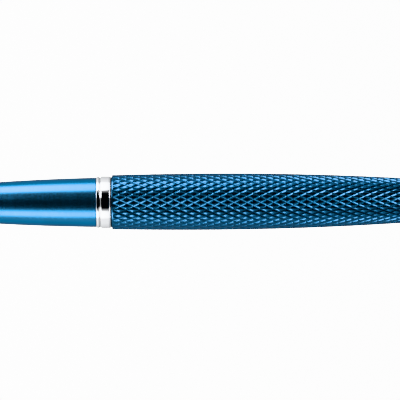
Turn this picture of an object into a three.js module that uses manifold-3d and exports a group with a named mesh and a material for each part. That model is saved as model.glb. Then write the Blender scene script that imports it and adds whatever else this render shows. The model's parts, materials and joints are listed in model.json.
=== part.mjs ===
// A rollerball pen with its cap drawn off, lying on a flat surface.
//
// Millimetres, +Z up. The pen's axis runs along X: the barrel points to +X and the tip to -X.
// The cap lies ahead of the tip on the same axis, with its mouth towards the pen, so that a
// straight push along +X closes it. The origin is under the middle of the whole length, on the
// surface that the pen lies on.
//
// Every turned piece is an outline of [distance along the axis, radius] pairs that closes on
// itself, listed from front to back along the outside and from back to front along the inside.
// Pen pieces are drawn in the pen's own frame, where 0 is the barrel's front edge. Cap pieces
// are drawn in the cap's own frame, where 0 is the flat top of the finial.

import * as THREE from 'three';
import { mergeVertices } from 'three/addons/utils/BufferGeometryUtils.js';
import Module from 'manifold-3d';

// ---- driving dimensions -----------------------------------------------------------------

const SIDES = 32;                 // facets round a turned piece
const SMALL_SIDES = 24;           // facets round a small inner piece
const SEAT_GAP = 0.03;            // between faces that bear on each other
const FIT_GAP = 0.05;             // radial clearance of a fixed fit
const RUN_GAP = 0.1;              // radial clearance of a fit that turns or slides

const BARREL_LENGTH = 80;
const BELLY_RADIUS = 6.25;        // thickest radius of the barrel
const BELLY_AT = 21.4;            // distance of the belly from the barrel's front edge
const FRONT_CURVE = 0.0005;       // radius lost per squared millimetre ahead of the belly
const REAR_CURVE = 0.0007045;     // and behind it

const WASHER_THICKNESS = 0.2;
const WASHER_RADIUS = 5.55;
const BAND_WIDTH = 2.25;
const BAND_RADIUS = 5.75;
const BEAD_WIDTH = 0.9;
const BEAD_RADIUS = 5.68;
const GROOVE_RADIUS = 5.5;        // waist between the bead and the band

const SECTION_RADIUS = 5.485;     // at the section's rear edge
const SECTION_LENGTH = 38.5;      // satin part, up to the nose collar
const SECTION_SLOPE = 0.02;       // radius lost per millimetre ahead of the rear edge
const SECTION_CURVE = 0.00065;    // per squared millimetre
const SECTION_FLARE = 0.000011;   // and per cubed millimetre
const COLLAR_LENGTH = 4;
const TIP_REACH = 3.35;           // how far the refill comes out of the collar

const COUPLING_RADIUS = 4.55;
const THREAD_RADIUS = 4.4;
const COUPLING_BORE = 3.4;
const COUPLING_IN_SECTION = 10.3;
const COUPLING_IN_BARREL = 9;

const REFILL_RADIUS = 3.05;
const REFILL_REAR = 61.2;         // rear face of the refill
const BALL_RADIUS = 0.35;

const CAP_LENGTH = 62.5;
const CAP_MOUTH_RADIUS = 6.1;     // shell, just behind the lip ring
const CAP_TOP_RADIUS = 4.7;       // shell, under the clip ring
const CAP_TAPER_POWER = 1.6;
const CAP_TAPER_REAR = 58.2;      // where the taper has reached the full radius
const CAP_TAPER_LENGTH = 52.8;
const CAP_BORE_RADIUS = 4.1;      // bore at its narrow end
const CAP_BORE_FRONT = 6.6;
const CAP_BORE_SLOPE = 0.034;     // radius gained per millimetre towards the mouth
const LIP_RADIUS = 6.25;
const LIP_BORE = 5.6;
const CAP_TO_TIP = 8;             // free gap between the drawn cap and the tip

const CLIP_BALL_RADIUS = 1;
const CLIP_BALL_FROM_TOP = 42;
const CLIP_BALL_LIFT = 0.3;       // gap between the ball and the shell
const CLIP_THICKNESS = 0.8;
const CLIP_ROOT_WIDTH = 2.9;
const CLIP_END_WIDTH = 2;

// ---- places worked out from them --------------------------------------------------------

const WASHER_FRONT = -SEAT_GAP - WASHER_THICKNESS;
const BAND_REAR = WASHER_FRONT - SEAT_GAP;
const BAND_FRONT = BAND_REAR - BAND_WIDTH;
const BEAD_REAR = BAND_FRONT - SEAT_GAP;
const BEAD_FRONT = BEAD_REAR - BEAD_WIDTH;
const SECTION_REAR = BEAD_FRONT - SEAT_GAP;
const SECTION_FRONT = SECTION_REAR - SECTION_LENGTH;
const COLLAR_REAR = SECTION_FRONT - SEAT_GAP;
const COLLAR_FRONT = COLLAR_REAR - COLLAR_LENGTH;
const BALL_FRONT = COLLAR_FRONT - TIP_REACH;
const BALL_AT = BALL_FRONT + BALL_RADIUS;
const PLUG_REAR = BARREL_LENGTH + 3.6;
const CAP_TOP_AT = BALL_FRONT - CAP_TO_TIP - CAP_LENGTH;
const PEN_FRAME_X = -(CAP_TOP_AT + PLUG_REAR) / 2;
const AXIS_HEIGHT = BELLY_RADIUS;

const CLIP_BALL_DISTANCE = capRadius(CLIP_BALL_FROM_TOP) + CLIP_BALL_LIFT + CLIP_BALL_RADIUS;
// The cap is turned until the clip's ball touches the surface that the lip ring lies on.
const CLIP_TURN = Math.acos((AXIS_HEIGHT - CLIP_BALL_RADIUS) / CLIP_BALL_DISTANCE);

// ---- shapes that follow a formula -------------------------------------------------------

function barrelRadius(along) {
  const behind = along - BELLY_AT;
  return BELLY_RADIUS - (behind > 0 ? REAR_CURVE : FRONT_CURVE) * behind ** 2;
}

// Radius of the grip section at a distance ahead of its rear edge.
function sectionRadius(ahead) {
  const lost = [SECTION_SLOPE * ahead, SECTION_CURVE * ahead ** 2, SECTION_FLARE * ahead ** 3];
  return lost.reduce((radius, loss) => radius - loss, SECTION_RADIUS);
}

// Radius of the cap's shell at a distance from the cap's top.
function capRadius(fromTop) {
  const share = (CAP_TAPER_REAR - fromTop) / CAP_TAPER_LENGTH;
  const drop = CAP_MOUTH_RADIUS - CAP_TOP_RADIUS;
  return CAP_MOUTH_RADIUS - drop * Math.max(share, 0) ** CAP_TAPER_POWER;
}

// Radius of the shell's bore behind the inner cap.
function capBore(fromTop) {
  return CAP_BORE_RADIUS + (fromTop - CAP_BORE_FRONT) * CAP_BORE_SLOPE;
}

// Points of an outline along a formula, from one place to another.
function along(from, to, steps, radiusAt) {
  const points = [];
  for (let i = 0; i <= steps; i += 1) {
    const place = from + ((to - from) * i) / steps;
    points.push([place, radiusAt(place)]);
  }
  return points;
}

// A quarter round at a front edge, from the end face to the side.
function roundedFront(edge, radius, size, steps = 3) {
  const points = [];
  for (let i = 0; i <= steps; i += 1) {
    const turn = (i / steps) * (Math.PI / 2);
    points.push([edge + size * (1 - Math.sin(turn)), radius - size * (1 - Math.cos(turn))]);
  }
  return points.reverse();
}

// A quarter round at a rear edge, from the side to the end face.
function roundedRear(edge, radius, size, steps = 3) {
  return roundedFront(-edge, radius, size, steps)
    .reverse()
    .map(([place, r]) => [-place, r]);
}

// ---- building blocks --------------------------------------------------------------------

// A piece turned on the X axis.
function turned(outline, sides = SIDES) {
  const points = outline.map(([place, radius]) => new THREE.Vector2(radius, place));
  const onAxis = outline[0][1] === 0;
  if (!onAxis) points.push(points[0].clone());
  const geometry = new THREE.LatheGeometry(points, sides);
  geometry.rotateZ(-Math.PI / 2);
  return geometry;
}

const COLOURS = {
  satinBlue: { color: 0x1668a0, roughness: 0.35, metalness: 1 },
  cutBlue: { color: 0x125a92, roughness: 0.2, metalness: 1 },
  chrome: { color: 0xdfe2e6, roughness: 0.08, metalness: 1 },
  brass: { color: 0xc8a24a, roughness: 0.35, metalness: 1 },
  steel: { color: 0xb4b8bc, roughness: 0.3, metalness: 1 },
  tipMetal: { color: 0xc9c4b4, roughness: 0.25, metalness: 1 },
  carbide: { color: 0x6c7076, roughness: 0.15, metalness: 1 },
  blackRubber: { color: 0x0c0c0d, roughness: 0.8, metalness: 0 },
  blackPlastic: { color: 0x18191b, roughness: 0.45, metalness: 0 },
  greyPlastic: { color: 0x9a9da1, roughness: 0.5, metalness: 0 },
  whitePlastic: { color: 0xe6e6e2, roughness: 0.4, metalness: 0 },
  inkFibre: { color: 0x15204a, roughness: 0.9, metalness: 0 },
};

function piece(name, geometry, look) {
  const mesh = new THREE.Mesh(geometry, new THREE.MeshStandardMaterial(COLOURS[look]));
  mesh.name = name;
  return mesh;
}

// ---- the section and what is fixed to it ------------------------------------------------

const SECTION_BORE = 3.5;         // passes the refill
const NOSE_BORE = 2.6;            // seat of the nose collar's spigot
const BORE_TAPER_REAR = 26;       // distances of the bore's taper ahead of the section's rear
const BORE_TAPER_FRONT = 33;
const COUPLING_SEAT = COUPLING_RADIUS + FIT_GAP;

function gripSection() {
  const outside = along(SECTION_FRONT, SECTION_REAR, 12, (x) => sectionRadius(SECTION_REAR - x));
  const inside = [
    [SECTION_REAR, COUPLING_SEAT],
    [SECTION_REAR - COUPLING_IN_SECTION - 0.2, COUPLING_SEAT],
    [SECTION_REAR - COUPLING_IN_SECTION - 0.2, SECTION_BORE],
    [SECTION_REAR - BORE_TAPER_REAR, SECTION_BORE],
    [SECTION_REAR - BORE_TAPER_FRONT, NOSE_BORE],
    [SECTION_FRONT, NOSE_BORE],
  ];
  return piece('grip_section', turned([...outside, ...inside]), 'satinBlue');
}

function noseCollar() {
  const frontRadius = 2.45;
  const tipHole = 1.35;
  const bore = 1.9;
  const spigotRadius = NOSE_BORE - FIT_GAP;
  const spigotRear = SECTION_REAR - BORE_TAPER_FRONT - 1;
  const outline = [
    [COLLAR_FRONT, tipHole],
    ...roundedFront(COLLAR_FRONT, frontRadius, 0.5),
    ...along(COLLAR_FRONT + 1, COLLAR_REAR, 3, (x) => sectionRadius(SECTION_REAR - x)),
    [COLLAR_REAR, spigotRadius],
    [spigotRear, spigotRadius],
    [spigotRear, bore],
    [COLLAR_FRONT + 1.5, bore],
    [COLLAR_FRONT + 1.5, tipHole],
  ];
  return piece('nose_collar', turned(outline), 'chrome');
}

function threadedCoupling() {
  const front = SECTION_REAR - COUPLING_IN_SECTION;
  const outline = [
    [front, COUPLING_BORE],
    [front, COUPLING_RADIUS],
    [WASHER_FRONT, COUPLING_RADIUS],
    [WASHER_FRONT + 0.6, THREAD_RADIUS],
    [COUPLING_IN_BARREL - 0.5, THREAD_RADIUS],
    [COUPLING_IN_BARREL, THREAD_RADIUS - 0.4],
    [COUPLING_IN_BARREL, COUPLING_BORE],
  ];
  return piece('threaded_coupling', turned(outline), 'brass');
}

function beadRing() {
  const outline = [
    [BEAD_FRONT, COUPLING_SEAT],
    [BEAD_FRONT, SECTION_RADIUS],
    [BEAD_FRONT + 0.22, BEAD_RADIUS],
    [BEAD_FRONT + 0.48, BEAD_RADIUS],
    [BEAD_FRONT + 0.62, GROOVE_RADIUS],
    [BEAD_REAR, GROOVE_RADIUS],
    [BEAD_REAR, COUPLING_SEAT],
  ];
  return piece('bead_ring', turned(outline), 'chrome');
}

function centreBand() {
  const crown = 0.02;
  const outline = [
    [BAND_FRONT, COUPLING_SEAT],
    [BAND_FRONT, GROOVE_RADIUS],
    [BAND_FRONT + 0.2, BAND_RADIUS - crown],
    [BAND_FRONT + 1, BAND_RADIUS],
    [BAND_REAR - 0.24, BAND_RADIUS - crown],
    [BAND_REAR, BAND_RADIUS - 0.2],
    [BAND_REAR, COUPLING_SEAT],
  ];
  return piece('centre_band', turned(outline), 'chrome');
}

function sealWasher() {
  const rear = WASHER_FRONT + WASHER_THICKNESS;
  const bore = COUPLING_RADIUS + RUN_GAP;
  const outline = [
    [WASHER_FRONT, bore],
    [WASHER_FRONT, WASHER_RADIUS],
    [rear, WASHER_RADIUS],
    [rear, bore],
  ];
  return piece('seal_washer', turned(outline), 'blackRubber');
}

// ---- the barrel -------------------------------------------------------------------------

const BUSH_SEAT = 5.3;
const BUSH_FRONT = 0.4;
const BUSH_REAR = 11.3;
const LINER_SEAT = 4.7;
const LINER_REAR = 56;
const NARROWS_FROM = 58;          // where the sleeve's bore narrows to the plug's seat
const NARROWS_TO = 74;
const PLUG_SEAT = 3.3;
const PLUG_SPIGOT_FRONT = 73.2;

function barrelSleeve() {
  const chamfer = 0.12;
  const front = barrelRadius(0);
  const outside = along(0.3, BARREL_LENGTH, 16, barrelRadius);
  const inside = [
    [BARREL_LENGTH, PLUG_SEAT],
    [NARROWS_TO, PLUG_SEAT],
    [NARROWS_FROM, LINER_SEAT],
    [BUSH_REAR + 0.2, LINER_SEAT],
    [BUSH_REAR + 0.2, BUSH_SEAT],
    [0, BUSH_SEAT],
  ];
  const outline = [[0, front - chamfer], ...outside, ...inside];
  return piece('barrel_sleeve', turned(outline), 'cutBlue');
}

function threadBush() {
  const bore = THREAD_RADIUS + RUN_GAP;
  const mouthBore = COUPLING_RADIUS + RUN_GAP;
  const outline = [
    [BUSH_FRONT, mouthBore],
    [BUSH_FRONT, BUSH_SEAT - FIT_GAP],
    [BUSH_REAR, BUSH_SEAT - FIT_GAP],
    [BUSH_REAR, bore],
    [BUSH_FRONT + 1, bore],
  ];
  return piece('thread_bush', turned(outline), 'brass');
}

function barrelLiner() {
  const bore = 3.9;
  const front = BUSH_REAR + 0.3;
  const outline = [
    [front, bore],
    [front, LINER_SEAT - FIT_GAP],
    [LINER_REAR, LINER_SEAT - FIT_GAP],
    [LINER_REAR, bore],
  ];
  return piece('barrel_liner', turned(outline), 'brass');
}

function endPlug() {
  const front = BARREL_LENGTH + SEAT_GAP;
  const sideRadius = barrelRadius(BARREL_LENGTH) + 0.03;
  const outline = [
    [PLUG_SPIGOT_FRONT, 0],
    [PLUG_SPIGOT_FRONT, PLUG_SEAT - FIT_GAP],
    [front, PLUG_SEAT - FIT_GAP],
    [front, sideRadius - 0.15],
    [front + 0.15, sideRadius],
    [front + 1, sideRadius - 0.02],
    ...roundedRear(PLUG_REAR, sideRadius - 0.1, 1.6, 4),
    [PLUG_REAR, 0],
  ];
  return piece('end_plug', turned(outline), 'chrome');
}

// ---- the refill and its spring ----------------------------------------------------------

const TUBE_FRONT = -12;
const TUBE_REAR = 58;
const TUBE_BORE = 2.65;
const FEED_RADIUS = 1.1;
const FEED_BORE = 1.2;
const TIP_RADIUS = 1.15;
const TIP_REAR = -40;
const NOSE_FRONT = -43.6;
const SPIGOT_LENGTH = 5;
const PLUG_SPIGOT = 4;            // how far the refill's plug goes into the tube
const SPRING_RADIUS = 2.4;        // outside of the coils
const SPRING_BORE = 1.9;
const CUP_FLOOR = 1.2;            // thickness of the spring cup's floor

function springCup() {
  const front = 65.5;
  const rear = PLUG_SPIGOT_FRONT - SEAT_GAP;
  const radius = 3.15;
  const bore = 2.6;
  const outline = [
    [rear - CUP_FLOOR, 0],
    [rear - CUP_FLOOR, bore],
    [front, bore],
    [front, radius],
    [rear, radius],
    [rear, 0],
  ];
  return piece('spring_cup', turned(outline, SMALL_SIDES), 'blackPlastic');
}

// The coils' envelope: one closed sleeve.
function refillSpring() {
  const rear = PLUG_SPIGOT_FRONT - SEAT_GAP - CUP_FLOOR - SEAT_GAP;
  const front = REFILL_REAR + SEAT_GAP;
  const outline = [
    [front, SPRING_BORE],
    [front, SPRING_RADIUS],
    [rear, SPRING_RADIUS],
    [rear, SPRING_BORE],
  ];
  return piece('refill_spring', turned(outline, SMALL_SIDES), 'steel');
}

function refillTube() {
  const outline = [
    [TUBE_FRONT, TUBE_BORE],
    [TUBE_FRONT, REFILL_RADIUS],
    [TUBE_REAR, REFILL_RADIUS],
    [TUBE_REAR, TUBE_BORE],
  ];
  return piece('refill_tube', turned(outline, SMALL_SIDES), 'greyPlastic');
}

function refillNose() {
  const rear = TUBE_FRONT + SPIGOT_LENGTH;
  const shoulder = TUBE_FRONT - SEAT_GAP;
  const neckRadius = 1.75;
  const neckRear = -37.2;
  const coneFrontRadius = 2.3;
  const coneRearRadius = 3;
  const coneRear = -32.2;
  const outline = [
    [NOSE_FRONT, TIP_RADIUS + FIT_GAP],
    [NOSE_FRONT, neckRadius - 0.2],
    [NOSE_FRONT + 0.2, neckRadius],
    [neckRear, neckRadius],
    [neckRear, coneFrontRadius],
    [coneRear, coneRearRadius],
    [coneRear + 0.4, REFILL_RADIUS],
    [shoulder, REFILL_RADIUS],
    [shoulder, TUBE_BORE - FIT_GAP],
    [rear, TUBE_BORE - FIT_GAP],
    [rear, FEED_BORE],
  ];
  return piece('refill_nose', turned(outline, SMALL_SIDES), 'blackPlastic');
}

function refillTip() {
  const lip = BALL_FRONT + 0.22;
  const seatRadius = BALL_RADIUS + 0.05;
  const channel = 0.2;
  const feedBore = 0.55;
  const seatRear = BALL_AT + BALL_RADIUS + 0.05;
  const outline = [
    [lip, seatRadius],
    [lip, seatRadius + 0.06],
    [BALL_FRONT + 2.1, 0.85],
    [BALL_FRONT + 2.5, TIP_RADIUS],
    [TIP_REAR, TIP_RADIUS],
    [TIP_REAR, feedBore],
    [BALL_FRONT + 2.6, feedBore],
    [BALL_FRONT + 2.1, channel],
    [seatRear, channel],
    [seatRear, seatRadius],
  ];
  return piece('refill_tip', turned(outline, SMALL_SIDES), 'tipMetal');
}

function writingBall() {
  const ball = piece('writing_ball', new THREE.SphereGeometry(BALL_RADIUS, 16, 10), 'carbide');
  ball.position.x = BALL_AT;
  return ball;
}

function inkFeed() {
  const front = TIP_REAR + SEAT_GAP;
  const rear = TUBE_FRONT + SPIGOT_LENGTH;
  const outline = [
    [front, 0],
    [front, FEED_RADIUS],
    [rear, FEED_RADIUS],
    [rear, 0],
  ];
  return piece('ink_feed', turned(outline, SMALL_SIDES), 'inkFibre');
}

function inkReservoir() {
  const front = TUBE_FRONT + SPIGOT_LENGTH + SEAT_GAP;
  const rear = TUBE_REAR - PLUG_SPIGOT - SEAT_GAP;
  const outline = [
    [front, 0],
    [front, TUBE_BORE - RUN_GAP],
    [rear, TUBE_BORE - RUN_GAP],
    [rear, 0],
  ];
  return piece('ink_reservoir', turned(outline, SMALL_SIDES), 'inkFibre');
}

function refillPlug() {
  const nibRear = REFILL_REAR + 1.8;
  const nibRadius = 1.6;
  const outline = [
    [TUBE_REAR - PLUG_SPIGOT, 0],
    [TUBE_REAR - PLUG_SPIGOT, TUBE_BORE - FIT_GAP],
    [TUBE_REAR + SEAT_GAP, TUBE_BORE - FIT_GAP],
    [TUBE_REAR + SEAT_GAP, REFILL_RADIUS],
    ...roundedRear(REFILL_REAR, REFILL_RADIUS, 0.3, 2),
    [REFILL_REAR, nibRadius],
    [nibRear - 0.3, nibRadius],
    [nibRear, nibRadius - 0.3],
    [nibRear, 0],
  ];
  return piece('refill_plug', turned(outline, SMALL_SIDES), 'blackPlastic');
}

// ---- the cap ----------------------------------------------------------------------------

const FINIAL_REAR = 4.3;
const CLIP_RING_FRONT = FINIAL_REAR + SEAT_GAP;
const CLIP_RING_REAR = CLIP_RING_FRONT + 1;
const SHELL_TOP = CLIP_RING_REAR + SEAT_GAP;
const SHELL_FLOOR = SHELL_TOP + 1.2;
const SHELL_MOUTH = CAP_LENGTH - 0.85;
const LIP_RING_FRONT = 58.3;
const SCREW_RADIUS = 1.45;
const SCREW_HOLE = SCREW_RADIUS + FIT_GAP;
const CLUTCH_FRONT = 50.5;
const CLUTCH_REAR = 56.5;
const CLUTCH_SEAT = 5.6;
const MOUTH_BORE = 5.45;          // shell's bore between the clutch and the inner cap
const MOUTH_BORE_FRONT = 43;
const INNER_BORE_REAR = 41;

function capShell() {
  const lipSeat = 5.95;
  const outside = along(SHELL_TOP + 0.15, LIP_RING_FRONT - SEAT_GAP, 12, capRadius);
  const outline = [
    [SHELL_TOP, SCREW_HOLE],
    [SHELL_TOP, capRadius(SHELL_TOP) - 0.15],
    ...outside,
    [LIP_RING_FRONT - SEAT_GAP, lipSeat],
    [SHELL_MOUTH, lipSeat],
    [SHELL_MOUTH, LIP_BORE],
    [CLUTCH_REAR + 0.1, LIP_BORE],
    [CLUTCH_REAR + 0.1, CLUTCH_SEAT + 0.02],
    [CLUTCH_FRONT - 0.1, CLUTCH_SEAT + 0.02],
    [CLUTCH_FRONT - 0.1, MOUTH_BORE],
    [MOUTH_BORE_FRONT, MOUTH_BORE],
    [INNER_BORE_REAR, capBore(INNER_BORE_REAR)],
    [SHELL_FLOOR, capBore(SHELL_FLOOR)],
    [SHELL_FLOOR, SCREW_HOLE],
  ];
  return piece('cap_shell', turned(outline), 'satinBlue');
}

function capLipRing() {
  const sleeveBore = 6;
  const outline = [
    [LIP_RING_FRONT, sleeveBore],
    [LIP_RING_FRONT, LIP_RADIUS - 0.12],
    [LIP_RING_FRONT + 0.15, LIP_RADIUS],
    ...roundedRear(CAP_LENGTH, LIP_RADIUS, 0.3, 3),
    [CAP_LENGTH, LIP_BORE],
    [SHELL_MOUTH + SEAT_GAP, LIP_BORE],
    [SHELL_MOUTH + SEAT_GAP, sleeveBore],
  ];
  return piece('cap_lip_ring', turned(outline), 'chrome');
}

function clutchRing() {
  const bore = 5.4;
  const outline = [
    [CLUTCH_FRONT, bore + 0.06],
    [CLUTCH_FRONT, CLUTCH_SEAT - 0.02],
    [CLUTCH_REAR, CLUTCH_SEAT - 0.02],
    [CLUTCH_REAR, bore + 0.06],
    [CLUTCH_REAR - 1, bore],
    [CLUTCH_FRONT + 1, bore],
  ];
  return piece('clutch_ring', turned(outline), 'blackPlastic');
}

function innerCap() {
  const top = SHELL_FLOOR + 1.4;
  const topRadius = 3.2;
  const topBore = 2.5;
  const coneFront = 19;
  const coneMiddle = 24.5;
  const coneRear = 32;
  const flangeFront = 39;
  const flangeRear = 40.5;
  const outline = [
    [top, 0],
    [top, topRadius],
    [coneFront, topRadius],
    [coneMiddle, 4.2],
    [coneRear, 4.8],
    [flangeFront, capBore(flangeFront) - 0.08],
    [flangeRear, capBore(flangeRear) - 0.08],
    [flangeRear, 4.78],
    [coneRear, 4.2],
    [coneMiddle, 3.6],
    [coneFront + 0.5, 3.05],
    [coneFront, topBore],
    [top + 1, topBore],
    [top + 1, 0],
  ];
  return piece('inner_cap', turned(outline), 'greyPlastic');
}

function clipRing() {
  const radius = CAP_TOP_RADIUS + 0.1;
  const outline = [
    [CLIP_RING_FRONT, SCREW_HOLE],
    [CLIP_RING_FRONT, radius - 0.12],
    [CLIP_RING_FRONT + 0.12, radius],
    [CLIP_RING_REAR - 0.12, radius],
    [CLIP_RING_REAR, radius - 0.12],
    [CLIP_RING_REAR, SCREW_HOLE],
  ];
  return piece('clip_ring', turned(outline), 'chrome');
}

function capFinial() {
  const blindHoleEnd = 2.1;
  const flatRadius = 3.1;
  const outline = [
    [0, 0],
    [0, flatRadius],
    [0.35, 3.75],
    [1.1, 4.3],
    [2.4, 4.6],
    [3.4, CAP_TOP_RADIUS],
    [FINIAL_REAR - 0.12, CAP_TOP_RADIUS],
    [FINIAL_REAR, CAP_TOP_RADIUS - 0.12],
    [FINIAL_REAR, SCREW_HOLE],
    [blindHoleEnd, SCREW_HOLE],
    [blindHoleEnd, 0],
  ];
  return piece('cap_finial', turned(outline), 'chrome');
}

function finialScrew() {
  const end = 2.3;
  const headFront = SHELL_FLOOR + SEAT_GAP;
  const headRear = headFront + 1.2;
  const headRadius = 2.6;
  const outline = [
    [end, 0],
    [end, SCREW_RADIUS - 0.2],
    [end + 0.2, SCREW_RADIUS],
    [headFront, SCREW_RADIUS],
    [headFront, headRadius],
    [headRear, headRadius],
    [headRear, 0],
  ];
  return piece('finial_screw', turned(outline, SMALL_SIDES), 'brass');
}

// ---- the clip ---------------------------------------------------------------------------

const wasm = await Module();
wasm.setup();

function toSolid(geometry) {
  const bare = geometry.index ? geometry.clone() : mergeVertices(geometry.clone());
  bare.deleteAttribute('normal');
  bare.deleteAttribute('uv');
  const merged = mergeVertices(bare, 1e-4);
  return new wasm.Manifold(new wasm.Mesh({
    numProp: 3,
    vertProperties: new Float32Array(merged.attributes.position.array),
    triVerts: new Uint32Array(merged.index.array),
  }));
}

function toGeometry(solid) {
  const mesh = solid.getMesh();
  const geometry = new THREE.BufferGeometry();
  geometry.setAttribute('position', new THREE.BufferAttribute(mesh.vertProperties, 3));
  geometry.setIndex(new THREE.BufferAttribute(mesh.triVerts, 1));
  return geometry;
}

const CLIP_ROOT_FROM_TOP = CLIP_RING_FRONT + 0.5;
const CLIP_ROOT_RADIUS = CAP_TOP_RADIUS + 0.4;

// The clip in its own frame: the root is the origin, +X runs to the cap's mouth and +Z away
// from the cap. The arm is an extruded side view, narrowed towards its end, with a ball.
function clip() {
  const half = CLIP_THICKNESS / 2;
  const endX = CLIP_BALL_FROM_TOP - CLIP_ROOT_FROM_TOP;
  const ballZ = CLIP_BALL_DISTANCE - CLIP_ROOT_RADIUS;
  const armStartZ = 1;
  const armEndZ = ballZ - 0.1;
  const side = new THREE.Shape();
  side.moveTo(-0.35, 0);
  side.lineTo(0.35, 0);
  side.quadraticCurveTo(0.6, armStartZ - half, 2.4, armStartZ - half);
  side.lineTo(endX - 3, armEndZ - half);
  side.lineTo(endX + 0.2, ballZ - half);
  side.lineTo(endX + 0.2, ballZ + half);
  side.lineTo(endX - 3, armEndZ + half);
  side.lineTo(1.6, armStartZ + half);
  side.quadraticCurveTo(-0.35, armStartZ + half, -0.35, 0);
  const arm = new THREE.ExtrudeGeometry(side, { depth: 1, bevelEnabled: false, curveSegments: 5 });
  arm.translate(0, 0, -0.5);
  arm.rotateX(Math.PI / 2);
  const places = arm.attributes.position;
  for (let i = 0; i < places.count; i += 1) {
    const share = Math.min(Math.max(places.getX(i) / endX, 0), 1);
    const width = CLIP_ROOT_WIDTH + (CLIP_END_WIDTH - CLIP_ROOT_WIDTH) * share;
    places.setY(i, places.getY(i) * width);
  }
  const ball = new THREE.SphereGeometry(CLIP_BALL_RADIUS, 20, 14);
  ball.translate(endX, 0, ballZ);
  const whole = toSolid(arm).add(toSolid(ball));
  const mesh = piece('clip', toGeometry(whole), 'chrome');
  mesh.position.set(CLIP_ROOT_FROM_TOP, 0, CLIP_ROOT_RADIUS);
  return mesh;
}

// ---- the whole pen ----------------------------------------------------------------------

function group(pieces) {
  const made = new THREE.Group();
  made.add(...pieces);
  return made;
}

const sectionPieces = [gripSection(), noseCollar(), threadedCoupling(), beadRing(), centreBand()];
const barrelPieces = [barrelSleeve(), threadBush(), barrelLiner(), endPlug()];
const refillPieces = [
  refillTube(),
  inkReservoir(),
  inkFeed(),
  refillNose(),
  refillTip(),
  writingBall(),
  refillPlug(),
];
const capPieces = [
  capShell(),
  capLipRing(),
  clutchRing(),
  innerCap(),
  clipRing(),
  capFinial(),
  finialScrew(),
];

const clipGroup = group([clip()]);
clipGroup.rotation.x = Math.PI - CLIP_TURN;
const cap = group([...capPieces, clipGroup]);
cap.position.x = CAP_TOP_AT;

const pen = group([
  group(sectionPieces),
  sealWasher(),
  group(barrelPieces),
  group([springCup(), refillSpring()]),
  group(refillPieces),
  cap,
]);
pen.position.set(PEN_FRAME_X, 0, AXIS_HEIGHT);

export default group([pen]);
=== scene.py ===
import json
import math

import bmesh
import bpy
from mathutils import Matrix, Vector


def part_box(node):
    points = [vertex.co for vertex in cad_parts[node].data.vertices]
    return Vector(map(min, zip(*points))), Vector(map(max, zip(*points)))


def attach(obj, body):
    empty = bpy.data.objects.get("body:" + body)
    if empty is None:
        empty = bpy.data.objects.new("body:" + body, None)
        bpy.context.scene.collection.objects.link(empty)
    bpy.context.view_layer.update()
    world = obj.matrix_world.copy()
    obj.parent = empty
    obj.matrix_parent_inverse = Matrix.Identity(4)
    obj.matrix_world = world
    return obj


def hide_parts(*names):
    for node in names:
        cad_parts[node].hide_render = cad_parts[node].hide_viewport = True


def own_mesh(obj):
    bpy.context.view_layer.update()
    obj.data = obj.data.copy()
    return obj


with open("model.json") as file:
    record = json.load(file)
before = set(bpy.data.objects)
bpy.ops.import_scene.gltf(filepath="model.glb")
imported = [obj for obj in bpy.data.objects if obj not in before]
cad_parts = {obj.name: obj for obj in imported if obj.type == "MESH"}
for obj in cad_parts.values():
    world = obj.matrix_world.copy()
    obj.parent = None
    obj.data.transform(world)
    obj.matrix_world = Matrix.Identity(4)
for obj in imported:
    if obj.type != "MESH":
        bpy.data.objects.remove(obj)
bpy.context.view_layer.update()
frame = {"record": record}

# A rollerball pen, uncapped, lying on a pale floor with its cap drawn off ahead of its tip.
# Lengths are in millimetres, measured along the pen from the barrel's front edge, or along
# the cap from the flat top of its finial. Meshes are turned into metres as they are made.

MM = 0.001
SIDES = 128                  # facets round a piece that is seen
INNER_SIDES = 72             # facets round a piece inside the pen
PITCH = 1.0                  # of the coupling's thread

barrel_low, barrel_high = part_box("barrel_sleeve")
AXIS_HEIGHT = (barrel_low.z + barrel_high.z) / 2
PEN = Vector((barrel_low.x, 0, AXIS_HEIGHT))
CAP = Vector((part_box("cap_finial")[0].x, 0, AXIS_HEIGHT))


def span(node, zero=PEN):
    """Front, rear and outer radius of a turned node, in millimetres from a zero point."""
    low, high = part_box(node)
    radius = max(high.z - AXIS_HEIGHT, high.y) / MM
    return (low.x - zero.x) / MM, (high.x - zero.x) / MM, radius


# ---- mesh building ------------------------------------------------------------------------


def add_piece(name, mesh, zero, body, nodes, material, sharp_above=40):
    """Places a mesh in the frame and says which body it rides on and what it replaces."""
    mesh.shade_smooth()
    mesh.set_sharp_from_angle(angle=math.radians(sharp_above))
    mesh.materials.append(material)
    piece = bpy.data.objects.new(name, mesh)
    bpy.context.scene.collection.objects.link(piece)
    piece.location = zero
    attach(piece, body)
    if nodes:
        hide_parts(*nodes)
    return piece


def mesh_from(name, points, faces):
    """A mesh from points in millimetres, with its faces turned outwards."""
    mesh = bpy.data.meshes.new(name)
    mesh.from_pydata([[c * MM for c in p] for p in points], [], faces)
    bm = bmesh.new()
    bm.from_mesh(mesh)
    bmesh.ops.recalc_face_normals(bm, faces=bm.faces)
    bm.to_mesh(mesh)
    bm.free()
    return mesh


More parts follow.
